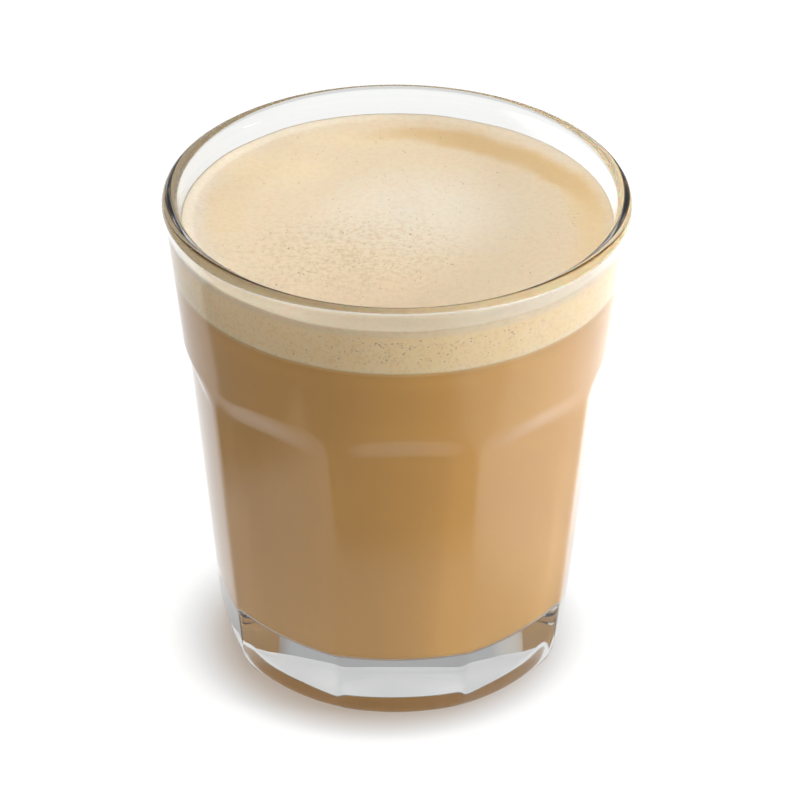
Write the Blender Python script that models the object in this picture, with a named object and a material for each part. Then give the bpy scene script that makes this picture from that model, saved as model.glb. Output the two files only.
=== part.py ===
"""A latte in a faceted glass tumbler: the glass, the latte and its milk foam.

The origin is the centre of the foot, on the surface that the glass stands on, and +Z runs up
the axis. One of the nine facets of the wall faces -Y. All lengths are in metres.
"""
from math import atan2, cos, hypot, pi, radians, sin, sqrt

import bmesh
import bpy

# Outside of the glass
HEIGHT = 0.0967
RIM_RADIUS = 0.0440
BEAD_RADIUS = 0.0015          # the lip is a round bead
BAND_TOP_RADIUS = 0.04345     # under the bead
BAND_FOOT_RADIUS = 0.04070    # where the round band meets the facets
BAND_FOOT = 0.0690            # height of that place
RIDGE_FOOT_RADIUS = 0.0341    # the ridge lines, carried down to the floor
FACETS = 9
FACET_DEPTH = 0.0013          # middle of a facet behind its ridges
RIDGE_SOFTNESS = 0.05         # rounding of a ridge, as a share of half a facet
SHOULDER_TOP = 0.0683         # top of a facet, at its middle
SHOULDER_RISE = 0.0060        # height over which a facet runs out into the band
ARCH_DROP = 0.0018            # how much lower a facet ends at its ridges

# Foot and base of the glass
FOOT_RADIUS = 0.0304          # outer edge of the flat ring that it stands on
FOOT_RING = 0.0036            # width of that ring
HEEL_RISE = 0.0075            # height of the rounding from ring to wall
HOLLOW_RISE = 0.0015          # height of the hollow under the base
HOLLOW_EDGE = 0.0065          # width of the slope around the hollow

# Inside of the glass
MOUTH_RADIUS = 0.0410         # just under the bead
FLOOR_RADIUS = 0.0296         # the inner cone, carried down to the inner floor
FLOOR_HEIGHT = 0.0122         # thickness of the base at its edge
CORNER_RADIUS = 0.0025        # between the inner wall and the inner floor

# The drink
FOAM_TOP = 0.0912
FOAM_FOOT = 0.0818
FOAM_CROWN = 0.0003           # the foam stands this much higher at its middle
FOAM_EDGE = 0.0006            # rounding of its upper edge
CLEARANCE = 0.0003            # gap between neighbouring pieces

# Fineness of the turned shapes
SEGMENTS = 8 * FACETS
BEAD_STEPS = 8
ARC_STEPS = 4
SMOOTH_ANGLE = radians(35)


def blend(start, end, share):
    """The value that lies a share of the way from start to end."""
    return start + (end - start) * share


def smooth(share):
    """A share from 0 to 1, eased at both ends."""
    share = min(max(share, 0.0), 1.0)
    return share * share * (3 - 2 * share)


def ridge_radius(z):
    """Radius of a ridge line of the wall at height z."""
    return blend(RIDGE_FOOT_RADIUS, BAND_FOOT_RADIUS, z / BAND_FOOT)


def inner_radius(z):
    """Radius of the inner cone at height z."""
    mouth = HEIGHT - BEAD_RADIUS
    return blend(FLOOR_RADIUS, MOUTH_RADIUS, (z - FLOOR_HEIGHT) / (mouth - FLOOR_HEIGHT))


def heel_share(z):
    """How far the heel has rounded out towards the wall at height z, from 0 to 1."""
    left = max(1 - z / HEEL_RISE, 0.0)
    return sqrt(1 - left * left)


def facet_share(angle):
    """Depth of the section at an angle, from 0 on a ridge to 1 at the middle of a facet."""
    half = pi / FACETS
    turn = (angle + pi / 2 + half) % (2 * half) - half
    from_ridge = 1 - abs(turn) / half
    rounded = sqrt(from_ridge**2 + RIDGE_SOFTNESS**2) - RIDGE_SOFTNESS
    rounded /= sqrt(1 + RIDGE_SOFTNESS**2) - RIDGE_SOFTNESS
    return rounded * (2 - rounded)


def facet_press(angle, z):
    """How far the outer wall lies behind its ridge line, at an angle and a height."""
    share = facet_share(angle)
    top = SHOULDER_TOP - ARCH_DROP * (1 - share)
    return FACET_DEPTH * share * smooth((top - z) / SHOULDER_RISE) * heel_share(z)


def arc(centre, radius, start, end, steps):
    """Points (r, z) of an arc about centre, from one angle to another, ends included."""
    angles = [blend(start, end, i / steps) for i in range(steps + 1)]
    return [(centre[0] + radius * cos(a), centre[1] + radius * sin(a)) for a in angles]


def hollow_height(r):
    """Height of the underside at radius r: a soft step up to a flat middle."""
    return HOLLOW_RISE * smooth((FOOT_RADIUS - FOOT_RING - r) / HOLLOW_EDGE)


def foot_profile():
    """The hollow underside and the ring that the glass stands on, from the axis outwards."""
    ring_inside = FOOT_RADIUS - FOOT_RING
    middle = ring_inside - HOLLOW_EDGE
    radii = [0.0, middle / 2] + [
        blend(middle, ring_inside, i / (ARC_STEPS + 1)) for i in range(ARC_STEPS + 2)
    ]
    return [(r, hollow_height(r)) for r in radii] + [(FOOT_RADIUS, 0.0)]


def wall_profile():
    """The heel and the ridge line up to the band, as the ridges run."""
    heel = []
    for i in range(1, ARC_STEPS + 2):
        z = HEEL_RISE * (1 - cos(i / (ARC_STEPS + 1) * pi / 2))
        heel.append((blend(FOOT_RADIUS, ridge_radius(z), heel_share(z)), z))
    middle = [0.25 * BAND_FOOT, 0.55 * BAND_FOOT]
    shoulder_foot = SHOULDER_TOP - ARCH_DROP - SHOULDER_RISE
    rings = 7
    shoulder = [blend(shoulder_foot, BAND_FOOT, i / rings) for i in range(rings + 1)]
    return heel + [(ridge_radius(z), z) for z in middle + shoulder]


def lip_profile():
    """The top of the band and the round bead of the lip, over to the inside."""
    centre = (RIM_RADIUS - BEAD_RADIUS, HEIGHT - BEAD_RADIUS)
    bead = arc(centre, BEAD_RADIUS, 0.0, pi, BEAD_STEPS)
    return [(BAND_TOP_RADIUS, HEIGHT - 2 * BEAD_RADIUS)] + bead


def cavity_profile(gap, top):
    """The inner cone and floor from height top down to the axis, moved inwards by gap."""
    radius = CORNER_RADIUS - gap
    lean = atan2(inner_radius(top) - FLOOR_RADIUS, top - FLOOR_HEIGHT)
    centre_z = FLOOR_HEIGHT + CORNER_RADIUS
    centre_r = inner_radius(centre_z) - CORNER_RADIUS / cos(lean)
    corner = arc((centre_r, centre_z), radius, -lean, -pi / 2, ARC_STEPS)
    return [(inner_radius(top) - gap / cos(lean), top)] + corner + [(0.0, corner[-1][1])]


def turned(name, profile):
    """A closed body turned about the Z axis from a profile that starts and ends on it."""
    bm = bmesh.new()
    chain = [bm.verts.new((0.0, -r, z)) for r, z in profile]
    edges = [bm.edges.new(pair) for pair in zip(chain, chain[1:])]
    bmesh.ops.spin(
        bm, geom=chain + edges, cent=(0, 0, 0), axis=(0, 0, 1), angle=2 * pi,
        steps=SEGMENTS, use_merge=True, use_duplicate=False,
    )
    bmesh.ops.remove_doubles(bm, verts=bm.verts, dist=1e-6)
    bmesh.ops.recalc_face_normals(bm, faces=bm.faces)
    mesh = bpy.data.meshes.new(name)
    bm.to_mesh(mesh)
    bm.free()
    part = bpy.data.objects.new(name, mesh)
    bpy.context.scene.collection.objects.link(part)
    return part


def finish(part, material):
    """Shade a part smooth except at its hard edges, and give it its material."""
    part.data.shade_smooth()
    part.data.set_sharp_from_angle(angle=SMOOTH_ANGLE)
    part.data.materials.append(material)


def make_material(name, colour, roughness, transmission=0.0, ior=1.45):
    """A Principled material of an even colour."""
    material = bpy.data.materials.new(name)
    material.use_nodes = True
    shader = material.node_tree.nodes["Principled BSDF"]
    shader.inputs["Base Color"].default_value = (*colour, 1.0)
    shader.inputs["Metallic"].default_value = 0.0
    shader.inputs["Roughness"].default_value = roughness
    shader.inputs["Transmission Weight"].default_value = transmission
    shader.inputs["IOR"].default_value = ior
    return material


def press_facets(part):
    """Press the facets into the outer wall of the glass, below its band."""
    for vertex in part.data.vertices:
        x, y, z = vertex.co
        radius = hypot(x, y)
        outside = radius > blend(inner_radius(z), ridge_radius(z), 0.5)
        if outside and z < BAND_FOOT:
            share = 1 - facet_press(atan2(y, x), z) / radius
            vertex.co = (x * share, y * share, z)
    part.data.update()


def make_glass():
    """The tumbler: hollow foot, faceted wall, round band, beaded lip and smooth inner cone."""
    inside = cavity_profile(0.0, HEIGHT - 2 * BEAD_RADIUS)
    glass = turned("glass", foot_profile() + wall_profile() + lip_profile() + inside)
    press_facets(glass)
    finish(glass, make_material("clear_glass", (0.97, 0.98, 0.97), 0.02, 1.0, 1.52))
    return glass


def make_latte():
    """The latte, from the inner floor up to the foam."""
    top = FOAM_FOOT - CLEARANCE / 2
    latte = turned("latte", [(0.0, top)] + cavity_profile(CLEARANCE, top))
    finish(latte, make_material("latte", (0.50, 0.29, 0.13), 0.25))
    return latte


def make_milk_foam():
    """The layer of milk foam, slightly crowned, with a rounded upper edge."""
    foot = FOAM_FOOT + CLEARANCE / 2
    shoulder = FOAM_TOP - FOAM_EDGE
    edge_radius = inner_radius(shoulder) - CLEARANCE
    edge = arc((edge_radius - FOAM_EDGE, shoulder), FOAM_EDGE, pi / 2, 0.0, ARC_STEPS)
    crown = [
        (edge[0][0] * i / ARC_STEPS, FOAM_TOP + FOAM_CROWN * (1 - (i / ARC_STEPS) ** 2))
        for i in range(ARC_STEPS)
    ]
    side = [(inner_radius(foot) - CLEARANCE, foot), (0.0, foot)]
    foam = turned("milk_foam", crown + edge + side)
    finish(foam, make_material("milk_foam", (0.86, 0.73, 0.54), 0.6))
    return foam


def main():
    for thing in list(bpy.data.objects):
        bpy.data.objects.remove(thing, do_unlink=True)
    make_glass()
    make_latte()
    make_milk_foam()


main()
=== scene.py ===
"""A latte in a faceted glass tumbler: the glass, the latte, the milk foam and its bubbles.

The file is laid out as a Blender add-on and is run as a script. Every piece is modelled in the
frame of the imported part: metres, +Z up, origin at the middle of the foot, a facet towards -Y.
"""
from math import atan2, cos, hypot, pi, radians, sin, sqrt
from random import Random

import bmesh
import bpy
from bpy.props import (
    FloatProperty, FloatVectorProperty, IntProperty, PointerProperty,
)
from mathutils import Matrix, Vector, noise


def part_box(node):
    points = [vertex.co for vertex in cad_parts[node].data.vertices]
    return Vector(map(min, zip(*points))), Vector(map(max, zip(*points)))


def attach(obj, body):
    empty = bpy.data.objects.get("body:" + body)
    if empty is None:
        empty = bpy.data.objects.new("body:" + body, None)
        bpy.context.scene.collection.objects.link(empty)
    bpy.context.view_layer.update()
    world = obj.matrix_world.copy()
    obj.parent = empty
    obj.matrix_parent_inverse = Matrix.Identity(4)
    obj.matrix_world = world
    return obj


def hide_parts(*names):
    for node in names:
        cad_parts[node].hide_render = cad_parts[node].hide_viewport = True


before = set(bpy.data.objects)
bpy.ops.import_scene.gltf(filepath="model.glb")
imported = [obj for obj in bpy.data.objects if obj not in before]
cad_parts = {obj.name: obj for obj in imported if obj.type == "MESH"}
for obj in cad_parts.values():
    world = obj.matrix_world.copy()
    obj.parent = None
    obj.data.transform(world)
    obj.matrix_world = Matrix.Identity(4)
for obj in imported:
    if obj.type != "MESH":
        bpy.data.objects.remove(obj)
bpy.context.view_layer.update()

bl_info = {
    "name": "Latte in a faceted tumbler",
    "version": (1, 0, 0),
    "blender": (4, 5, 0),
    "location": "3D View > Sidebar > Latte",
    "description": "Models a glass of latte with its milk foam",
    "category": "Add Mesh",
}

GLASS_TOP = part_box("glass")[1]
FOAM_LOW, FOAM_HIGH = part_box("milk_foam")
LATTE_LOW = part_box("latte")[0]
CAD_GAP = 0.0003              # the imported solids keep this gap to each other
MM = 0.001
SAME = 1e-6                   # metres; heights closer than this are one level
MERGE = 1e-7                  # metres; vertices closer than this become one
# Rows along the outlines of the turned shapes.
MIDDLE_ROWS, SLOPE_ROWS, HEEL_ROWS, FACET_ROWS = 8, 20, 14, 16      # up the outside
SHOULDER_ROWS, BAND_ROWS, LIP_ROWS = 30, 8, 28
CONE_ROWS, CORNER_ROWS, FLOOR_ROWS = 16, 12, 6                      # down the inside
FOAM_RINGS, FOAM_ROWS = 110, 20          # of the foam's top and side
# Waves of the foam's top: length in millimetres, share of the relief, and level of the noise.
FOAM_WAVES = ((11, 1.0, 0.0), (2.2, 0.12, 0.03), (0.7, 0.05, 0.05))
CLIMB_WIDTH = 2.5 * MM        # how far from the wall the foam begins to climb
# Waves of the line between latte and foam: their length, and the level of their noise.
LINE_WAVE_LENGTH, LINE_LEVEL = 7 * MM, 0.02
BALL_SEGMENTS, BALL_RINGS = 8, 4         # of one bubble


# ---------------------------------------------------------------- settings


class TumblerSettings(bpy.types.PropertyGroup):
    """Sizes and finish of the glass"""

    rim_radius: FloatProperty(
        name="Rim radius", description="Outside of the lip", default=GLASS_TOP.x,
        unit="LENGTH", precision=5)
    height: FloatProperty(
        name="Height", description="From the foot to the top of the lip",
        default=GLASS_TOP.z, unit="LENGTH", precision=5)
    bead_radius: FloatProperty(
        name="Bead radius", description="Rounding of the lip", default=1.5 * MM,
        unit="LENGTH", precision=5)
    band_top_radius: FloatProperty(
        name="Band top radius", description="Outside of the band under the bead",
        default=43.45 * MM, unit="LENGTH", precision=5)
    band_foot_radius: FloatProperty(
        name="Band foot radius", description="Outside of the band where the facets begin",
        default=40.7 * MM, unit="LENGTH", precision=5)
    band_foot: FloatProperty(
        name="Band foot", description="Height of the lower edge of the band",
        default=69 * MM, unit="LENGTH", precision=5)
    ridge_foot_radius: FloatProperty(
        name="Ridge foot radius", description="Radius of the ridges, carried down to the floor",
        default=34.1 * MM, unit="LENGTH", precision=5)
    facets: IntProperty(
        name="Facets", description="Number of facets round the wall", default=9, min=3)
    facet_depth: FloatProperty(
        name="Facet depth", description="Middle of a facet behind its ridges",
        default=1.3 * MM, unit="LENGTH", precision=5)
    ridge_softness: FloatProperty(
        name="Ridge softness", description="Rounding of a ridge, as a share of half a facet",
        default=0.05, subtype="FACTOR")
    shoulder_top: FloatProperty(
        name="Shoulder top", description="Top of a facet at its middle",
        default=68.3 * MM, unit="LENGTH", precision=5)
    shoulder_rise: FloatProperty(
        name="Shoulder rise", description="Height over which a facet runs out into the band",
        default=6.0 * MM, unit="LENGTH", precision=5)
    arch_drop: FloatProperty(
        name="Arch drop", description="How much lower a facet ends at its ridges",
        default=1.8 * MM, unit="LENGTH", precision=5)
    foot_radius: FloatProperty(
        name="Foot radius", description="Outer edge of the ring that the glass stands on",
        default=30.4 * MM, unit="LENGTH", precision=5)
    foot_ring: FloatProperty(
        name="Foot ring", description="Width of the ring that the glass stands on",
        default=3.6 * MM, unit="LENGTH", precision=5)
    heel_rise: FloatProperty(
        name="Heel rise", description="Height of the rounding from the ring to the wall",
        default=7.5 * MM, unit="LENGTH", precision=5)
    hollow_rise: FloatProperty(
        name="Hollow rise", description="Height of the hollow under the base",
        default=1.5 * MM, unit="LENGTH", precision=5)
    hollow_edge: FloatProperty(
        name="Hollow edge", description="Width of the slope around the hollow",
        default=6.5 * MM, unit="LENGTH", precision=5)
    mouth_radius: FloatProperty(
        name="Mouth radius", description="Inside of the wall under the bead",
        default=41.0 * MM, unit="LENGTH", precision=5)
    floor_radius: FloatProperty(
        name="Floor radius", description="Inner cone, carried down to the inner floor",
        default=29.6 * MM, unit="LENGTH", precision=5)
    floor_height: FloatProperty(
        name="Floor height", description="Height of the inner floor",
        default=LATTE_LOW.z - CAD_GAP, unit="LENGTH", precision=5)
    corner_radius: FloatProperty(
        name="Corner radius", description="Rounding between the inner wall and floor",
        default=2.5 * MM, unit="LENGTH", precision=5)
    segments: IntProperty(
        name="Segments per facet", description="Fineness of the turned shapes", default=40)
    tint: FloatVectorProperty(
        name="Glass tint", description="Cast of the clear glass", subtype="COLOR",
        default=(0.865, 0.88, 0.88))
    index: FloatProperty(
        name="Index", description="Refractive index of the glass", default=1.52)


class DrinkSettings(bpy.types.PropertyGroup):
    """Levels and colours of the latte and the foam"""

    reach: FloatProperty(
        name="Reach", description="How far the drink reaches into the wall of the glass",
        default=0.06 * MM, unit="LENGTH", precision=6)
    foam_foot: FloatProperty(
        name="Foam foot", description="Height where the latte ends and the foam begins",
        default=FOAM_LOW.z - CAD_GAP / 2, unit="LENGTH", precision=5)
    foam_top: FloatProperty(
        name="Foam top", description="Height of the foam at its middle",
        default=FOAM_HIGH.z - 0.2 * MM, unit="LENGTH", precision=5)
    foam_climb: FloatProperty(
        name="Foam climb", description="How far the foam rises at the wall",
        default=0.3 * MM, unit="LENGTH", precision=5)
    foam_relief: FloatProperty(
        name="Foam relief", description="Height of the broad unevenness of the foam",
        default=0.2 * MM, unit="LENGTH", precision=5)
    line_wave: FloatProperty(
        name="Line wave", description="Unevenness of the line between latte and foam",
        default=0.15 * MM, unit="LENGTH", precision=5)
    top_bubbles: IntProperty(
        name="Bubbles on top", description="Number of small bubbles on the foam", default=1500)
    side_bubbles: IntProperty(
        name="Bubbles at the wall", description="Number of bubbles in the foam at the wall",
        default=520)
    seed: IntProperty(name="Seed", description="Start of the bubbles' random places", default=7)
    latte_colour: FloatVectorProperty(
        name="Latte", description="Milky coffee", subtype="COLOR",
        default=(0.63, 0.345, 0.094))
    foam_colour: FloatVectorProperty(
        name="Foam", description="Pale milk foam", subtype="COLOR",
        default=(0.80, 0.655, 0.465))
    side_colour: FloatVectorProperty(
        name="Foam side", description="Foam against the wall of the glass", subtype="COLOR",
        default=(0.97, 0.74, 0.43))
    fringe_colour: FloatVectorProperty(
        name="Foam fringe", description="Thin foam round the edge", subtype="COLOR",
        default=(0.80, 0.72, 0.60))
    front_fringe_colour: FloatVectorProperty(
        name="Front fringe", description="The same on the near side", subtype="COLOR",
        default=(0.93, 0.76, 0.52))
    bubble_colour: FloatVectorProperty(
        name="Bubbles", description="Small bubbles in the foam", subtype="COLOR",
        default=(0.63, 0.47, 0.29))


class StageSettings(bpy.types.PropertyGroup):
    """Floor, lights and camera"""

    floor_size: FloatProperty(
        name="Floor size", description="Side of the pale floor", default=3.0, unit="LENGTH")
    distance: FloatProperty(
        name="Distance", description="Camera to the middle of the glass", default=0.958,
        unit="LENGTH")
    elevation: FloatProperty(
        name="Elevation", description="Camera above the horizon, seen from the glass",
        default=radians(31.83), subtype="ANGLE")
    azimuth: FloatProperty(
        name="Azimuth", description="Camera round the glass, to the right of -Y",
        default=radians(-2.6), subtype="ANGLE")
    pitch: FloatProperty(
        name="Pitch", description="How far the camera looks down", default=radians(31.68),
        subtype="ANGLE")
    roll: FloatProperty(
        name="Roll", description="Turn of the camera about its view", default=radians(0.4),
        subtype="ANGLE")
    lens: FloatProperty(
        name="Lens", description="Focal length in millimetres", default=225.0)
    key_power: FloatProperty(
        name="Key power", description="Watts of the key light", default=28.5)
    key_size: FloatProperty(
        name="Key size", description="Side of the square key light", default=0.3, unit="LENGTH")
    key_azimuth: FloatProperty(
        name="Key azimuth", description="Key light round the glass, to the right of -Y",
        default=radians(75.0), subtype="ANGLE")
    key_elevation: FloatProperty(
        name="Key elevation", description="Key light above the horizon",
        default=radians(10.0), subtype="ANGLE")
    top_power: FloatProperty(
        name="Top power", description="Watts of the light overhead", default=9.9)
    ambient: FloatProperty(
        name="Ambient", description="Brightness of the studio overhead", default=0.30)
    front: FloatProperty(
        name="Front", description="Brightness in front, as a share of that overhead", default=3.8)
    left: FloatProperty(
        name="Left", description="Brightness on the left, as a share of that overhead",
        default=2.6)
    back: FloatProperty(
        name="Back", description="Brightness behind, as a share of that overhead", default=1.4)
    floor_tone: FloatProperty(
        name="Floor tone", description="Grey of the pale floor", default=0.14)
    # Painted shadow: the floor's glow in the dim patch round the foot.
    floor_glow: FloatProperty(
        name="Floor glow", description="Light that the floor gives off round the glass",
        default=0.71)
    floor_glow_out: FloatProperty(
        name="Outer floor glow", description="The same, away from the foot of the glass",
        default=0.93)
    # Painted shade: the floor's glow close behind the glass.
    floor_glow_behind: FloatProperty(
        name="Floor glow behind", description="The same, close behind the glass", default=0.68)
    floor_glow_far: FloatProperty(
        name="Far floor glow", description="The same, far to the left and in front", default=0.34)
    # Painted shadow: the floor's glow under the foot.
    floor_glow_under: FloatProperty(
        name="Floor glow under the foot", description="The same, inside the foot ring",
        default=0.45)
    floor_glow_right: FloatProperty(
        name="Floor glow on the right", description="Glow added to the right of the glass",
        default=0.7)
    # Painted contact shadow: the floor's dim, warm glow close round the foot.
    contact_shadow_glow: FloatVectorProperty(
        name="Contact glow", description="Light of the floor close round the foot",
        subtype="COLOR", default=(0.40, 0.34, 0.29))


# ---------------------------------------------------------------- shapes


def blend(start, end, share):
    """The value that lies a share of the way from start to end."""
    return start + (end - start) * share


def smooth(share):
    """A share from 0 to 1, eased at both ends."""
    share = min(max(share, 0.0), 1.0)
    return share * share * (3 - 2 * share)


def ridge_radius(g, z):
    """Radius of a ridge line of the wall at height z."""
    return blend(g.ridge_foot_radius, g.band_foot_radius, z / g.band_foot)


def inner_radius(g, z):
    """Radius of the inner cone at height z."""
    mouth = g.height - g.bead_radius
    share = (z - g.floor_height) / (mouth - g.floor_height)
    return blend(g.floor_radius, g.mouth_radius, share)


def heel_share(g, z):
    """How far the heel has rounded out towards the wall at height z, from 0 to 1."""
    left = max(1 - z / g.heel_rise, 0.0)
    return sqrt(1 - left * left)


def facet_share(g, angle):
    """Depth of the section at an angle, from 0 on a ridge to 1 at the middle of a facet."""
    half = pi / g.facets
    turn = (angle + pi / 2 + half) % (2 * half) - half
    from_ridge = 1 - abs(turn) / half
    rounded = sqrt(from_ridge**2 + g.ridge_softness**2) - g.ridge_softness
    rounded /= sqrt(1 + g.ridge_softness**2) - g.ridge_softness
    return rounded * (2 - rounded)


def facet_press(g, angle, z):
    """How far the outer wall lies behind its ridge line, at an angle and a height."""
    share = facet_share(g, angle)
    top = g.shoulder_top - g.arch_drop * (1 - share)
    return g.facet_depth * share * smooth((top - z) / g.shoulder_rise) * heel_share(g, z)


def arc(centre, radius, start, end, steps):
    """Points (r, z) of an arc about centre, from one angle to another, ends included."""
    angles = [blend(start, end, i / steps) for i in range(steps + 1)]
    return [(centre[0] + radius * cos(a), centre[1] + radius * sin(a)) for a in angles]


def rows(start, end, steps):
    """Evenly spaced values from start to end, ends included."""
    return [blend(start, end, i / steps) for i in range(steps + 1)]


def hollow_height(g, r):
    """Height of the underside at radius r: a soft step up to a flat middle."""
    return g.hollow_rise * smooth((g.foot_radius - g.foot_ring - r) / g.hollow_edge)


def foot_profile(g):
    """The hollow underside and the ring that the glass stands on, from the axis outwards."""
    ring_inside = g.foot_radius - g.foot_ring
    middle = ring_inside - g.hollow_edge
    radii = rows(0, middle, MIDDLE_ROWS) + rows(middle, ring_inside, SLOPE_ROWS)[1:]
    return [(r, hollow_height(g, r)) for r in radii] + [(g.foot_radius, 0.0)]


def wall_profile(g):
    """The heel and the ridge line up to the band, as the ridges run."""
    heel = []
    for turn in rows(0, pi / 2, HEEL_ROWS)[1:]:
        z = g.heel_rise * (1 - cos(turn))
        heel.append((blend(g.foot_radius, ridge_radius(g, z), heel_share(g, z)), z))
    shoulder_foot = g.shoulder_top - g.arch_drop - g.shoulder_rise
    middle = rows(g.heel_rise, shoulder_foot, FACET_ROWS)[1:-1]
    shoulder = rows(shoulder_foot, g.band_foot, SHOULDER_ROWS)
    return heel + [(ridge_radius(g, z), z) for z in middle + shoulder]


def lip_profile(g):
    """The band and the round bead of the lip, over to the inside."""
    centre = (g.rim_radius - g.bead_radius, g.height - g.bead_radius)
    band_top = g.height - 2 * g.bead_radius
    band = [
        (blend(g.band_foot_radius, g.band_top_radius, s), blend(g.band_foot, band_top, s))
        for s in rows(0, 1, BAND_ROWS)[1:]
    ]
    return band + arc(centre, g.bead_radius, 0.0, pi, LIP_ROWS)


def cavity_profile(g, gap, top, corner_rows=CORNER_ROWS):
    """The inner cone and floor from height top down to the axis, moved inwards by gap."""
    radius = g.corner_radius - gap
    lean = atan2(inner_radius(g, top) - g.floor_radius, top - g.floor_height)
    centre_z = g.floor_height + g.corner_radius
    centre_r = inner_radius(g, centre_z) - g.corner_radius / cos(lean)
    corner = arc((centre_r, centre_z), radius, -lean, -pi / 2, corner_rows)
    heights = rows(top, centre_z, CONE_ROWS)[:-1]
    wall = [(inner_radius(g, z) - gap / cos(lean), z) for z in heights]
    floor = [(corner[-1][0] * s, corner[-1][1]) for s in rows(1, 0, FLOOR_ROWS)[1:]]
    return wall + corner + floor


def foam_height(g, d, x, y):
    """Height of the foam's surface at a place seen from above."""
    radius = hypot(x, y)
    wall = inner_radius(g, d.foam_top)
    climb = d.foam_climb * smooth((radius - wall + CLIMB_WIDTH) / CLIMB_WIDTH)
    relief = sum(
        share * noise.noise(Vector((x, y, level)) / (length * MM))
        for length, share, level in FOAM_WAVES)
    return d.foam_top + climb + d.foam_relief * relief


def line_height(d, x, y):
    """Height of the line between latte and foam, at a place on the wall."""
    wave = noise.noise(Vector((x, y, LINE_LEVEL)) / LINE_WAVE_LENGTH)
    return d.foam_foot + d.line_wave * wave


def turned(name, profile, segments):
    """A closed body turned about the Z axis from a profile that starts and ends on it."""
    bm = bmesh.new()
    chain = [bm.verts.new((0.0, -r, z)) for r, z in profile]
    edges = [bm.edges.new(pair) for pair in zip(chain, chain[1:])]
    bmesh.ops.spin(
        bm, geom=chain + edges, cent=(0, 0, 0), axis=(0, 0, 1), angle=2 * pi,
        steps=segments, use_merge=True, use_duplicate=False,
    )
    bmesh.ops.remove_doubles(bm, verts=bm.verts, dist=MERGE)
    bmesh.ops.recalc_face_normals(bm, faces=bm.faces)
    return as_piece(name, bm)


def add_bubble(bm, matrix):
    """Add a small ball, shaped and placed by a matrix, to a bmesh."""
    ball = bmesh.new()
    bmesh.ops.create_uvsphere(
        ball, u_segments=BALL_SEGMENTS, v_segments=BALL_RINGS, radius=1.0, matrix=matrix)
    mesh = bpy.data.meshes.new("ball")
    ball.to_mesh(mesh)
    ball.free()
    bm.from_mesh(mesh)
    bpy.data.meshes.remove(mesh)


def as_piece(name, bm):
    """A new object from a bmesh, at the origin of the frame."""
    mesh = bpy.data.meshes.new(name)
    bm.to_mesh(mesh)
    bm.free()
    mesh.shade_smooth()
    piece = bpy.data.objects.new(name, mesh)
    bpy.context.scene.collection.objects.link(piece)
    return piece


# ---------------------------------------------------------------- materials

# Noises on the surfaces: features per metre, detail and roughness.
HAZE, WAVINESS = (90.0, 3.0, 0.5), (70.0, 1.0, 0.5)       # of the glass
CLOUDS, SKIN = (35.0, 2.0, 0.5), (300.0, 2.0, 0.5)        # of the latte and of a bubble
BENDING, FROTH, GRAIN = (70.0, 6.0, 0.6), (900.0, 4.0, 0.75), (1500.0, 3.0, 0.6)   # of the foam
MOTTLE, SPECKS = (420.0, 3.0, 0.65), (1300.0, 3.0, 0.6)   # of the foam's side
FLOOR_CLOUDS = (4.0, 2.0, 0.5)
CELL_SCALE, GRAIN_SHARE = 900.0, 0.5     # the foam's cells per metre, and the grain on them
NOISE_MIDDLE = (0.5, 0.5, 0.5)           # the mean of a noise's colour
# Levels of a noise between which it takes effect.
USUAL_LEVELS, HAZE_LEVELS, MOTTLE_LEVELS = (0.3, 0.7), (0.45, 0.75), (0.35, 0.7)
FROTH_LEVELS, SPECK_LEVELS = (0.44, 0.62), (0.5, 0.64)
# Roughness where its noise is low and where it is high.
GLASS_ROUGHNESS, LATTE_ROUGHNESS = (0.0, 0.02), (0.18, 0.3)
FOAM_ROUGHNESS, BUBBLE_ROUGHNESS = (0.5, 0.7), (0.25, 0.45)
GLASS_BUMP, FOAM_BUMP = (0.25, 0.1 * MM), (0.22, 0.15 * MM)          # strength and depth
DRINK_INDEX = 1.34            # refractive index of latte and foam
FOAM_SCATTER = (0.3, 1.0 * MM)           # share of the light that enters the foam, and how far
CLOUD_LIGHT = 1.05            # pale clouds of the latte, as a share of its colour
MOTTLE_LIGHT = 0.1            # pale spots of the foam's side, as a share of the way to white
BUBBLE_SHADES = (0.8, 1.25)   # dark and light places of a bubble, as shares of its colour
# Paler latte just under the foam: its depth, its most, and how near it is to the foam's side.
PALE_DEPTH, PALE_SHARE, PALE_BLEND = 0.9 * MM, 0.6, 0.5
SIDE_DEPTHS = (0.5 * MM, 2.0 * MM)       # depths over which the foam's side takes over

# Tints of the foam seen from above: colour, strength, and patches in millimetres, each with
# its middle (x, y) and its half sizes.
FOAM_TINTS = (
    ((0.86, 0.70, 0.46), 0.6, ((-22, 20, 15, 11), (-6, 31, 16, 6))),
    ((0.79, 0.60, 0.42), 0.5, ((-8, -28, 26, 12), (34, -14, 7, 13))),
    ((0.82, 0.74, 0.62), 0.8, ((5, 2, 29, 24),)),
    ((0.76, 0.66, 0.52), 0.5, ((-13, -4, 12, 9),)),
)
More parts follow.
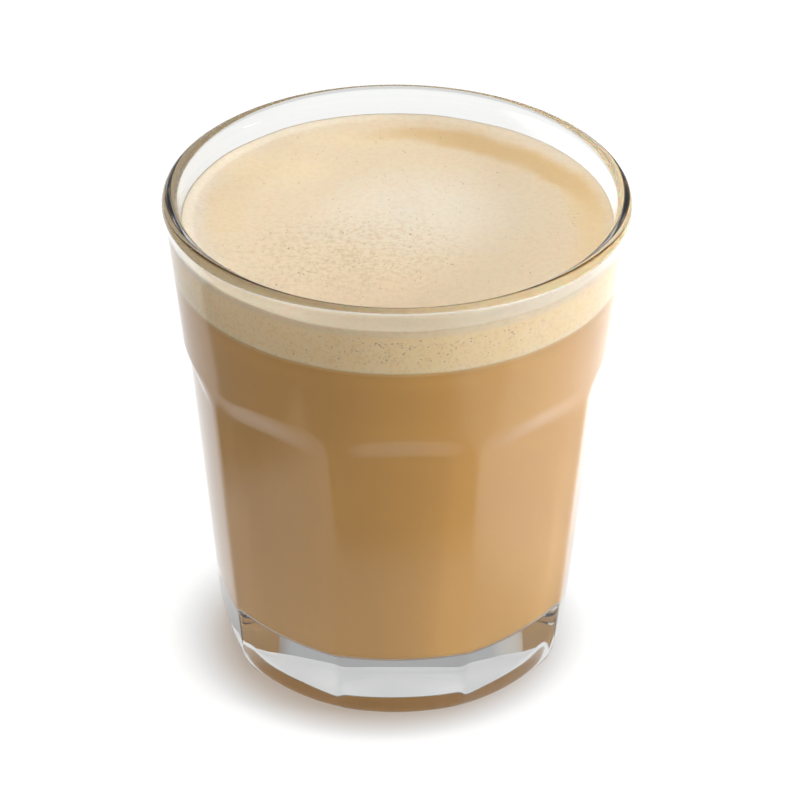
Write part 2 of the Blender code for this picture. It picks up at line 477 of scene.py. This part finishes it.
# Tints that follow the edge of the foam: colour, strength, and patches, each with its middle
# (angle in degrees, radius) and its half sizes (along, across) in millimetres.
FOAM_ARCS = (
    ((0.80, 0.62, 0.40), 0.6, ((170, 33, 26, 6),)),
    ((0.80, 0.60, 0.34), 0.8, ((12, 37.5, 38, 6),)),
    ((0.72, 0.50, 0.25), 0.9, ((63, 36.5, 25, 5), (36, 37.5, 22, 4.5))),
)
ARC_CENTRE = (0.0, -4 * MM, 0.0)
ARC_RADIUS = 34 * MM          # radius at which an arc's length is measured
TINT_CORE, ARC_CORE = 0.1, 0.35          # share of a patch's size that has its full tint
WOBBLE = 7 * MM               # how far the noise bends the edges of the tints
FRINGE_CENTRE = (1.6 * MM, 0.6 * MM, 0.0)
FRINGE_FROM, FRINGE_TO = 36.0 * MM, 40.5 * MM          # distances from that centre
FRINGE_SHARE = 0.7
NEAR_FROM, NEAR_TO = -8 * MM, -26 * MM   # where along Y the fringe takes its near colour
FROTH_PATCH = ((-10, -14), (30, 24), 0.2)              # centre, half sizes and core
FROTH_OUT, FROTH_IN = 0.18, 0.55         # share of the froth's colour outside and inside it
FOOT_TINT, FOOT_SHARE = (0.95, 0.78, 0.53), 0.5        # paler foam just above the latte
FOOT_FROM, FOOT_TO = 0.4 * MM, 2.2 * MM                # heights over which it fades
SPECK_TINT, SPECK_SHARE = (0.82, 0.57, 0.28), 0.4      # small tan specks in the foam's side


class Graph:
    """Short words for building one node tree; a value is a number, a tuple or a socket."""

    def __init__(self, tree):
        self.tree = tree

    def add(self, kind, inputs=None, **settings):
        """A new node, with its inputs linked or set."""
        node = self.tree.nodes.new(kind)
        for key, value in settings.items():
            setattr(node, key, value)
        for key, value in (inputs or {}).items():
            self.put(value, node.inputs[key])
        return node

    def put(self, value, socket):
        """Link a socket to an input, or set the input to a plain value."""
        if isinstance(value, bpy.types.NodeSocket):
            self.tree.links.new(value, socket)
        else:
            socket.default_value = value

    def math(self, operation, a, b=0.0):
        """The result of a Math node on two numbers."""
        return self.add("ShaderNodeMath", {0: a, 1: b}, operation=operation).outputs[0]

    def vector(self, operation, a, b=(0.0, 0.0, 0.0)):
        """The result of a Vector Math node: a vector, or a number for a length or distance."""
        node = self.add("ShaderNodeVectorMath", {0: a, 1: b}, operation=operation)
        return node.outputs["Value" if operation in ("LENGTH", "DISTANCE") else "Vector"]

    def split(self, vector):
        """The X, Y and Z of a vector."""
        return self.add("ShaderNodeSeparateXYZ", {0: vector}).outputs

    def ramp(self, value, low, high, to_low=0.0, to_high=1.0):
        """Ease from to_low to to_high as the value goes from low to high."""
        node = self.add(
            "ShaderNodeMapRange",
            {"Value": value, "From Min": low, "From Max": high,
             "To Min": to_low, "To Max": to_high},
            interpolation_type="SMOOTHSTEP")
        return node.outputs[0]

    def mix(self, share, a, b):
        """A mix of two colours, from a at share 0 to b at share 1."""
        node = self.add("ShaderNodeMix", data_type="RGBA", clamp_factor=True)
        for value, index in ((share, 0), (a, 6), (b, 7)):
            self.put(value, node.inputs[index])
        return node.outputs[2]

    def noise(self, where, scale, detail, roughness, output="Fac"):
        """Noise over the surface, with its scale in features per metre."""
        node = self.add(
            "ShaderNodeTexNoise",
            {"Vector": where, "Scale": scale, "Detail": detail, "Roughness": roughness})
        return node.outputs[output]

    def bump(self, height, strength, distance):
        """Normals of a fine relief, given by its height from 0 to 1."""
        node = self.add(
            "ShaderNodeBump", {"Strength": strength, "Distance": distance, "Height": height})
        return node.outputs["Normal"]


def new_material(name):
    """A material with a Principled shader: its graph, the shader and Object coordinates."""
    material = bpy.data.materials.new(name)
    material.use_nodes = True
    graph = Graph(material.node_tree)
    shader = material.node_tree.nodes["Principled BSDF"]
    where = graph.add("ShaderNodeTexCoord").outputs["Object"]
    return material, graph, shader, where


def new_group(name, inputs, outputs):
    """An empty node group with named sockets, and its graph, input and output nodes."""
    tree = bpy.data.node_groups.new(name, "ShaderNodeTree")
    for socket, kind, value in inputs:
        made = tree.interface.new_socket(socket, in_out="INPUT", socket_type=kind)
        if value is not None:
            made.default_value = value
    for socket, kind in outputs:
        tree.interface.new_socket(socket, in_out="OUTPUT", socket_type=kind)
    graph = Graph(tree)
    return tree, graph, graph.add("NodeGroupInput").outputs, graph.add("NodeGroupOutput").inputs


def soft_patch_group():
    """Mask of a soft oval patch about a centre, seen from above."""
    name = "Soft patch"
    if name in bpy.data.node_groups:
        return bpy.data.node_groups[name]
    tree, graph, source, result = new_group(
        name,
        [("Vector", "NodeSocketVector", None), ("Centre", "NodeSocketVector", None),
         ("Size", "NodeSocketVector", (1.0, 1.0, 1.0)), ("Core", "NodeSocketFloat", TINT_CORE)],
        [("Mask", "NodeSocketFloat")])
    offset = graph.vector("SUBTRACT", source["Vector"], source["Centre"])
    length = graph.vector("LENGTH", graph.vector("DIVIDE", offset, source["Size"]))
    graph.put(graph.ramp(length, 1.0, source["Core"]), result["Mask"])
    return tree


def patch(graph, where, centre, size, core):
    """Place the soft patch group in a material: centre and size in millimetres."""
    node = graph.add("ShaderNodeGroup", node_tree=soft_patch_group())
    graph.put(where, node.inputs["Vector"])
    node.inputs["Centre"].default_value = (centre[0] * MM, centre[1] * MM, 0.0)
    node.inputs["Size"].default_value = (size[0] * MM, size[1] * MM, 1.0)
    node.inputs["Core"].default_value = core
    return node.outputs["Mask"]


def glass_material(g):
    """Clear pressed glass with a faint waviness."""
    material, graph, shader, where = new_material("clear_glass")
    shader.inputs["Base Color"].default_value = (*g.tint, 1.0)
    shader.inputs["Transmission Weight"].default_value = 1.0
    shader.inputs["IOR"].default_value = g.index
    haze = graph.noise(where, *HAZE)
    graph.put(graph.ramp(haze, *HAZE_LEVELS, *GLASS_ROUGHNESS), shader.inputs["Roughness"])
    waviness = graph.noise(where, *WAVINESS)
    graph.put(graph.bump(waviness, *GLASS_BUMP), shader.inputs["Normal"])
    return material


def against_glass(material, graph, shader, glass_index):
    """Give a wet surface the mirror that the glass over it shows at low angles."""
    fresnel = graph.add("ShaderNodeFresnel", {"IOR": DRINK_INDEX / glass_index})
    mirror = graph.add("ShaderNodeBsdfGlossy", {"Roughness": 0.0})
    mixer = graph.add("ShaderNodeMixShader", {0: fresnel.outputs[0]})
    graph.put(shader.outputs[0], mixer.inputs[1])
    graph.put(mirror.outputs[0], mixer.inputs[2])
    output = material.node_tree.nodes["Material Output"]
    graph.put(mixer.outputs[0], output.inputs["Surface"])


def latte_material(d, glass_index):
    """Opaque milky coffee, a little paler just under the foam."""
    material, graph, shader, where = new_material("latte")
    height = graph.split(where)["Z"]
    clouds = graph.noise(where, *CLOUDS)
    light = (*[c * CLOUD_LIGHT for c in d.latte_colour], 1)
    body = graph.mix(graph.ramp(clouds, *USUAL_LEVELS), (*d.latte_colour, 1), light)
    pale = [blend(c, side, PALE_BLEND) for c, side in zip(d.latte_colour, d.side_colour)]
    under = graph.ramp(height, d.foam_foot - PALE_DEPTH, d.foam_foot, 0.0, PALE_SHARE)
    graph.put(graph.mix(under, body, (*pale, 1)), shader.inputs["Base Color"])
    graph.put(graph.ramp(clouds, *USUAL_LEVELS, *LATTE_ROUGHNESS), shader.inputs["Roughness"])
    shader.inputs["Specular IOR Level"].default_value = 0.0
    against_glass(material, graph, shader, glass_index)
    return material


def tinted_top(graph, bent, d):
    """Colour of the foam from above: its tints in plan, those along its edge, and the fringe."""
    flat = graph.vector("MULTIPLY", bent, (1, 1, 0))
    from_centre = graph.vector("SUBTRACT", flat, ARC_CENTRE)
    x, y, _ = graph.split(from_centre)
    along = graph.math("MULTIPLY", graph.math("ARCTAN2", y, x), ARC_RADIUS)
    radius = graph.vector("LENGTH", from_centre)
    polar = graph.add("ShaderNodeCombineXYZ", {0: along, 1: radius}).outputs[0]
    arcs = [
        (tint, strength, [
            (radians(angle) * ARC_RADIUS / MM, r, *half) for angle, r, *half in patches])
        for tint, strength, patches in FOAM_ARCS
    ]
    colour = (*d.foam_colour, 1)
    for place, tints, core in ((bent, FOAM_TINTS, TINT_CORE), (polar, arcs, ARC_CORE)):
        for tint, strength, patches in tints:
            mask = 0.0
            for *middle, width, depth in patches:
                spot = patch(graph, place, middle, (width, depth), core)
                mask = graph.math("MAXIMUM", mask, spot)
            colour = graph.mix(graph.math("MULTIPLY", mask, strength), colour, (*tint, 1))
    reach = graph.vector("DISTANCE", flat, FRINGE_CENTRE)
    fringe = graph.ramp(reach, FRINGE_FROM, FRINGE_TO, 0.0, FRINGE_SHARE)
    near = graph.ramp(graph.split(bent)["Y"], NEAR_TO, NEAR_FROM)
    pale = graph.mix(near, (*d.front_fringe_colour, 1), (*d.fringe_colour, 1))
    return graph.mix(fringe, colour, pale)


def foam_side(graph, where, height, d):
    """Colour of the foam against the wall: mottled, paler at its foot, with tan specks."""
    mottle = graph.ramp(graph.noise(where, *MOTTLE), *MOTTLE_LEVELS)
    light = (*[blend(c, 1, MOTTLE_LIGHT) for c in d.side_colour], 1)
    wall = graph.mix(mottle, (*d.side_colour, 1), light)
    foot = graph.ramp(height, d.foam_foot + FOOT_TO, d.foam_foot + FOOT_FROM, 0.0, FOOT_SHARE)
    wall = graph.mix(foot, wall, (*FOOT_TINT, 1))
    specks = graph.ramp(graph.noise(where, *SPECKS), *SPECK_LEVELS, 0.0, SPECK_SHARE)
    return graph.mix(specks, wall, (*SPECK_TINT, 1))


def foam_material(d):
    """Milk foam: cream with a caramel streak, a pale fringe at the wall and fine froth."""
    material, graph, shader, where = new_material("milk_foam")
    bending = graph.vector(
        "SUBTRACT", graph.noise(where, *BENDING, output="Color"), NOISE_MIDDLE)
    bent = graph.vector("ADD", where, graph.vector("MULTIPLY", bending, (WOBBLE, WOBBLE, WOBBLE)))
    colour = tinted_top(graph, bent, d)
    froth = graph.ramp(graph.noise(where, *FROTH), *FROTH_LEVELS)
    frothy = graph.ramp(patch(graph, bent, *FROTH_PATCH), 0.0, 1.0, FROTH_OUT, FROTH_IN)
    colour = graph.mix(graph.math("MULTIPLY", froth, frothy), colour, (*d.bubble_colour, 1))
    height = graph.split(where)["Z"]
    side = graph.ramp(height, *[d.foam_top - depth for depth in SIDE_DEPTHS])
    colour = graph.mix(side, colour, foam_side(graph, where, height, d))
    graph.put(colour, shader.inputs["Base Color"])
    grain = graph.noise(where, *GRAIN)
    cells = graph.add("ShaderNodeTexVoronoi", {"Vector": where, "Scale": CELL_SCALE})
    relief = graph.math(
        "ADD", graph.math("MULTIPLY", grain, GRAIN_SHARE), cells.outputs["Distance"])
    graph.put(graph.bump(relief, *FOAM_BUMP), shader.inputs["Normal"])
    graph.put(graph.ramp(grain, *USUAL_LEVELS, *FOAM_ROUGHNESS), shader.inputs["Roughness"])
    shader.inputs["Subsurface Weight"].default_value = FOAM_SCATTER[0]
    shader.inputs["Subsurface Scale"].default_value = FOAM_SCATTER[1]
    shader.inputs["IOR"].default_value = DRINK_INDEX
    return material


def bubble_material(name, d):
    """Skin of the bubbles in the foam: tan, mottled and a little glossy."""
    material, graph, shader, where = new_material(name)
    skin = graph.noise(where, *SKIN)
    dark, light = [(*[c * share for c in d.bubble_colour], 1) for share in BUBBLE_SHADES]
    graph.put(
        graph.mix(graph.ramp(skin, *USUAL_LEVELS), dark, light), shader.inputs["Base Color"])
    graph.put(graph.ramp(skin, *USUAL_LEVELS, *BUBBLE_ROUGHNESS), shader.inputs["Roughness"])
    shader.inputs["IOR"].default_value = DRINK_INDEX
    return material


# ---------------------------------------------------------------- operators

BUBBLE_FLATNESS = 0.35        # height of a bubble as a share of its width
TOP_SIZES, SIDE_SIZES = (0.06, 0.18), (0.07, 0.2)        # radii in millimetres
TOP_FINENESS, SIDE_FINENESS = 3, 2.5     # the higher, the more bubbles are near the least size
LARGE_EVERY, LARGE_SHARE = 60, 1.7       # one bubble in so many on top is that much larger
OPEN_FOAM = 37 * MM           # radius of the foam's top that carries bubbles
STRAY = 1 * MM                # how far past it a bubble may lie
GATHER_EVERY, GATHER_COUNT = 5, 3        # of so many bubbles on top, so many lie in a patch
TOP_GATHER = ((-9, 9), (-16, 7))         # middle and spread of that patch, X and Y, in mm
SIDE_GATHER = (0.05, 0.42)    # the same along the wall, from its front, in radians
SIDE_FROM, SIDE_RANGE = 0.5, 7.6         # millimetres above the foam's foot
SIDE_SPREAD = (2.2, 1.6)      # shape of their spread in height

KEY_DISTANCE, TOP_DISTANCE = 1.6, 1.5    # metres from the glass to the lights
TOP_SIZE = 1.0                # side of the square light overhead, in metres
KEY_COLOUR = (0.97, 1.02, 1.05)
AIM_HEIGHT = 0.05             # height that the lights face, in metres
# Colours of the studio: overhead, in front, behind and on the left.
OVER_COLOUR, FRONT_COLOUR = (0.99, 1.0, 1.01), (1.05, 0.98, 0.88)
BACK_COLOUR, LEFT_COLOUR = (0.98, 1.0, 1.02), (1.0, 0.98, 0.92)
# Directions over which the last three come in, along Y or X of a sphere of radius 1.
FRONT_REACH, BACK_REACH, LEFT_REACH = (-0.2, -0.8), (0.2, 0.9), (-0.3, -0.9)
SENSOR_WIDTH, LENS_SHIFT = 36.0, 0.005   # in millimetres, and as a share of the picture
CLIP_START, CLIP_END = 0.05, 20.0        # metres that the camera sees
FLOOR_SHADES = (-0.01, 0.01)  # of the floor's clouds, beside its tone
FLOOR_ROUGHNESS, FLOOR_GLOSS = 0.8, 0.1

# Patches of painted shadow, where the floor glows less: centre and half sizes in millimetres, and
# core.
FOOT_SHADOW = ((-3, -2.5), (45.5, 43), 0.72)
CONTACT_SHADOW = ((-3, -3.5), (38, 37), 0.72)
BEHIND_SHADE = ((0, 78), (38, 46), 0.5)
UNDER_FOOT_SHADE = ((0, 0), (31, 31), 0.8)
# Distances over which the glow fades far to the left and in front, where a distance counts
# for FRONT_STRETCH times as much, and over which it grows on the right.
FAR_FROM, FAR_TO, FRONT_STRETCH = 79 * MM, 98 * MM, 1.15
RIGHT_FROM, RIGHT_TO = 38 * MM, 70 * MM


class LATTE_OT_tumbler(bpy.types.Operator):
    """Turn the tumbler and press its facets"""

    bl_idname = "latte.tumbler"
    bl_label = "Tumbler"

    def execute(self, context):
        g = context.scene.latte_tumbler
        inside = cavity_profile(g, 0.0, g.height - 2 * g.bead_radius)
        profile = foot_profile(g) + wall_profile(g) + lip_profile(g) + inside
        piece = turned("tumbler", profile, g.segments * g.facets)
        for vertex in piece.data.vertices:
            x, y, z = vertex.co
            radius = hypot(x, y)
            outside = radius > blend(inner_radius(g, z), ridge_radius(g, z), 0.5)
            if outside and z < g.band_foot:
                share = 1 - facet_press(g, atan2(y, x), z) / radius
                vertex.co = (x * share, y * share, z)
        piece.data.materials.append(glass_material(g))
        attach(piece, "root")
        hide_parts("glass")
        return {"FINISHED"}


class LATTE_OT_latte(bpy.types.Operator):
    """Fill the tumbler with latte up to the foam"""

    bl_idname = "latte.latte"
    bl_label = "Latte"

    def execute(self, context):
        g, d = context.scene.latte_tumbler, context.scene.latte_drink
        outline = cavity_profile(g, -d.reach, d.foam_foot, 2 * CORNER_ROWS)
        piece = turned("latte_body", [(0.0, d.foam_foot)] + outline, g.segments * g.facets)
        for vertex in piece.data.vertices:
            if vertex.co.z > d.foam_foot - SAME:
                vertex.co.z = line_height(d, vertex.co.x, vertex.co.y)
        piece.data.materials.append(latte_material(d, g.index))
        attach(piece, "root")
        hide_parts("latte")
        return {"FINISHED"}


class LATTE_OT_foam(bpy.types.Operator):
    """Lay the milk foam on the latte"""

    bl_idname = "latte.foam"
    bl_label = "Milk foam"

    def execute(self, context):
        g, d = context.scene.latte_tumbler, context.scene.latte_drink
        edge_radius = inner_radius(g, d.foam_top) + d.reach
        top = [(edge_radius * share, d.foam_top) for share in rows(0, 1, FOAM_RINGS)]
        heights = rows(d.foam_top, d.foam_foot, FOAM_ROWS)[1:]
        side = [(inner_radius(g, z) + d.reach, z) for z in heights]
        piece = turned("foam_cap", top + side + [(0.0, d.foam_foot)], g.segments * g.facets)
        for vertex in piece.data.vertices:
            x, y, z = vertex.co
            if z > d.foam_top - SAME:
                vertex.co.z = foam_height(g, d, x, y)
            elif z < d.foam_foot + SAME:
                vertex.co.z = line_height(d, x, y)
        piece.data.materials.append(foam_material(d))
        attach(piece, "root")
        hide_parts("milk_foam")
        return {"FINISHED"}


class LATTE_OT_bubbles(bpy.types.Operator):
    """Scatter small bubbles on the foam and in its side against the wall"""

    bl_idname = "latte.bubbles"
    bl_label = "Bubbles"

    def execute(self, context):
        g, d = context.scene.latte_tumbler, context.scene.latte_drink
        chance = Random(d.seed)
        for name, count, spots in (
            ("top_bubbles", d.top_bubbles, top_spots),
            ("wall_bubbles", d.side_bubbles, wall_spots),
        ):
            bm = bmesh.new()
            for place, outward, radius in spots(g, d, chance, count):
                flat = Matrix.Diagonal((radius, radius, radius * BUBBLE_FLATNESS, 1))
                turn = outward.to_track_quat("Z", "Y").to_matrix().to_4x4()
                add_bubble(bm, Matrix.Translation(place) @ turn @ flat)
            piece = as_piece(name, bm)
            piece.data.materials.append(bubble_material(name, d))
            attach(piece, "root")
        return {"FINISHED"}


def top_spots(g, d, chance, count):
    """Places, directions and sizes of the bubbles on the foam, most of them in one patch."""
    for i in range(count):
        if i % GATHER_EVERY < GATHER_COUNT:
            x, y = [chance.gauss(*spread) * MM for spread in TOP_GATHER]
        else:
            turn, reach = chance.uniform(0, 2 * pi), sqrt(chance.uniform(0, 1))
            x, y = OPEN_FOAM * reach * cos(turn), OPEN_FOAM * reach * sin(turn)
        if hypot(x, y) > OPEN_FOAM + STRAY:
            continue
        radius = blend(*TOP_SIZES, chance.random() ** TOP_FINENESS) * MM
        if i % LARGE_EVERY == 0:
            radius *= LARGE_SHARE
        yield Vector((x, y, foam_height(g, d, x, y))), Vector((0, 0, 1)), radius


def wall_spots(g, d, chance, count):
    """Places, directions and sizes of the bubbles that show through the wall.

    Every other one lies anywhere round the wall, the rest gather at the front.
    """
    for i in range(count):
        turn = chance.uniform(0, 2 * pi) if i % 2 else chance.gauss(*SIDE_GATHER) - pi / 2
        z = d.foam_foot + (SIDE_FROM + SIDE_RANGE * chance.betavariate(*SIDE_SPREAD)) * MM
        radius = blend(*SIDE_SIZES, chance.random() ** SIDE_FINENESS) * MM
        reach = inner_radius(g, z) + d.reach
        outward = Vector((cos(turn), sin(turn), 0.0))
        yield outward * reach + Vector((0, 0, z)), outward, radius


def area_light(name, size, power, azimuth, elevation, distance):
    """A square soft light that faces the glass, placed by azimuth, elevation and distance."""
    data = bpy.data.lights.new(name, "AREA")
    data.size = size
    data.energy = power
    lamp = bpy.data.objects.new(name, data)
    away = Vector((
        sin(azimuth) * cos(elevation), -cos(azimuth) * cos(elevation), sin(elevation)))
    lamp.location = away * distance + Vector((0, 0, AIM_HEIGHT))
    lamp.rotation_euler = away.to_track_quat("Z", "Y").to_euler()
    bpy.context.scene.collection.objects.link(lamp)
    return lamp


def floor_material(s):
    """Pale floor that glows, less so in painted shadows at the foot and where the glass mirrors
    it.
    """
    material, graph, shader, where = new_material("pale_floor")
    clouds = graph.noise(where, *FLOOR_CLOUDS)
    dark, light = [3 * (s.floor_tone + shade,) + (1,) for shade in FLOOR_SHADES]
    graph.put(graph.mix(clouds, dark, light), shader.inputs["Base Color"])
    across, along, _ = graph.split(where)
    # Painted shadows: the floor glows less round the foot, close behind the glass and under the
    # foot.
    glow = graph.ramp(
        patch(graph, where, *FOOT_SHADOW), 0.0, 1.0, s.floor_glow_out, s.floor_glow)
    for place, dim in ((BEHIND_SHADE, s.floor_glow_behind), (UNDER_FOOT_SHADE, s.floor_glow_under)):
        most = graph.ramp(patch(graph, where, *place), 0.0, 1.0, 1.0, dim)
        glow = graph.math("MINIMUM", glow, most)
    # Towards the back, the dim zone on the left starts further out.
    left = graph.math("MULTIPLY", across, -1.0)
    left = graph.math("SUBTRACT", left, graph.math("MAXIMUM", along, 0.0))
    out = graph.math("MAXIMUM", left, graph.math("MULTIPLY", along, -FRONT_STRETCH))
    loss = graph.ramp(out, FAR_FROM, FAR_TO, 0.0, s.floor_glow_out - s.floor_glow_far)
    gain = graph.ramp(across, RIGHT_FROM, RIGHT_TO, 0.0, s.floor_glow_right)
    glow = graph.math("ADD", graph.math("SUBTRACT", glow, loss), gain)
    # Painted contact shadow: close round the foot the floor glows dimmer and warmer.
    contact_shadow = patch(graph, where, *CONTACT_SHADOW)
    glow = graph.mix(contact_shadow, glow, (*s.contact_shadow_glow, 1))
    graph.put(glow, shader.inputs["Emission Color"])
    shader.inputs["Emission Strength"].default_value = 1.0
    shader.inputs["Roughness"].default_value = FLOOR_ROUGHNESS
    shader.inputs["Specular IOR Level"].default_value = FLOOR_GLOSS
    return material


def studio_world(s):
    """Soft walls round the glass: brighter in front, on the left and behind than above."""
    world = bpy.data.worlds.new("studio")
    world.use_nodes = True
    background = world.node_tree.nodes["Background"]
    sky = Graph(world.node_tree)
    across, depth, _ = sky.split(sky.add("ShaderNodeTexCoord").outputs["Generated"])
    over, front, back, left = [
        (*[s.ambient * share * c for c in colour], 1) for share, colour in (
            (1, OVER_COLOUR), (s.front, FRONT_COLOUR),
            (s.back, BACK_COLOUR), (s.left, LEFT_COLOUR))]
    tone = sky.mix(sky.ramp(depth, *BACK_REACH), over, back)
    tone = sky.mix(sky.ramp(across, *LEFT_REACH), tone, left)
    tone = sky.mix(sky.ramp(depth, *FRONT_REACH), tone, front)
    sky.put(tone, background.inputs["Color"])
    return world


def studio_camera(s):
    """Long lens that looks down at the middle of the glass."""
    data = bpy.data.cameras.new("camera")
    data.sensor_width = SENSOR_WIDTH
    data.lens = s.lens
    data.shift_x = LENS_SHIFT
    data.clip_start, data.clip_end = CLIP_START, CLIP_END
    camera = bpy.data.objects.new("camera", data)
    a, e, p = s.azimuth, s.elevation, s.pitch
    away = Vector((sin(a) * cos(e), -cos(a) * cos(e), sin(e)))
    camera.location = away * s.distance + Vector((0, 0, GLASS_TOP.z / 2))
    back = Vector((sin(a) * cos(p), -cos(a) * cos(p), sin(p)))
    turn = back.to_track_quat("Z", "Y").to_matrix().to_4x4()
    camera.rotation_euler = (turn @ Matrix.Rotation(s.roll, 4, "Z")).to_euler()
    bpy.context.scene.collection.objects.link(camera)
    return camera


class LATTE_OT_stage(bpy.types.Operator):
    """Set the floor, the lights and the camera"""

    bl_idname = "latte.stage"
    bl_label = "Stage"

    def execute(self, context):
        scene, s = context.scene, context.scene.latte_stage
        scene.view_settings.view_transform = "Standard"
        bm = bmesh.new()
        bmesh.ops.create_grid(bm, x_segments=2, y_segments=2, size=s.floor_size / 2)
        floor = as_piece("floor", bm)
        floor.data.materials.append(floor_material(s))
        scene.world = studio_world(s)
        key = area_light(
            "key", s.key_size, s.key_power, s.key_azimuth, s.key_elevation, KEY_DISTANCE)
        key.data.color = KEY_COLOUR
        top = area_light("top", TOP_SIZE, s.top_power, 0.0, pi / 2, TOP_DISTANCE)
        for light in (key, top):
            light.visible_glossy = False
        scene.camera = studio_camera(s)
        return {"FINISHED"}


class LATTE_PT_panel(bpy.types.Panel):
    """Lists the steps of the glass of latte"""

    bl_idname = "LATTE_PT_panel"
    bl_label = "Latte"
    bl_space_type = "VIEW_3D"
    bl_region_type = "UI"
    bl_category = "Latte"

    def draw(self, context):
        for step in STEPS:
            self.layout.operator(step.bl_idname)


STEPS = (
    LATTE_OT_tumbler, LATTE_OT_latte, LATTE_OT_foam, LATTE_OT_bubbles, LATTE_OT_stage,
)
SETTINGS = {
    "latte_tumbler": TumblerSettings,
    "latte_drink": DrinkSettings,
    "latte_stage": StageSettings,
}
CLASSES = (*SETTINGS.values(), *STEPS, LATTE_PT_panel)


def register():
    for cls in CLASSES:
        bpy.utils.register_class(cls)
    for name, cls in SETTINGS.items():
        setattr(bpy.types.Scene, name, PointerProperty(type=cls))


def unregister():
    for name in SETTINGS:
        delattr(bpy.types.Scene, name)
    for cls in reversed(CLASSES):
        bpy.utils.unregister_class(cls)


def main():
    register()
    bpy.ops.latte.tumbler()
    bpy.ops.latte.latte()
    bpy.ops.latte.foam()
    bpy.ops.latte.bubbles()
    bpy.ops.latte.stage()


if __name__ == "__main__":
    main()
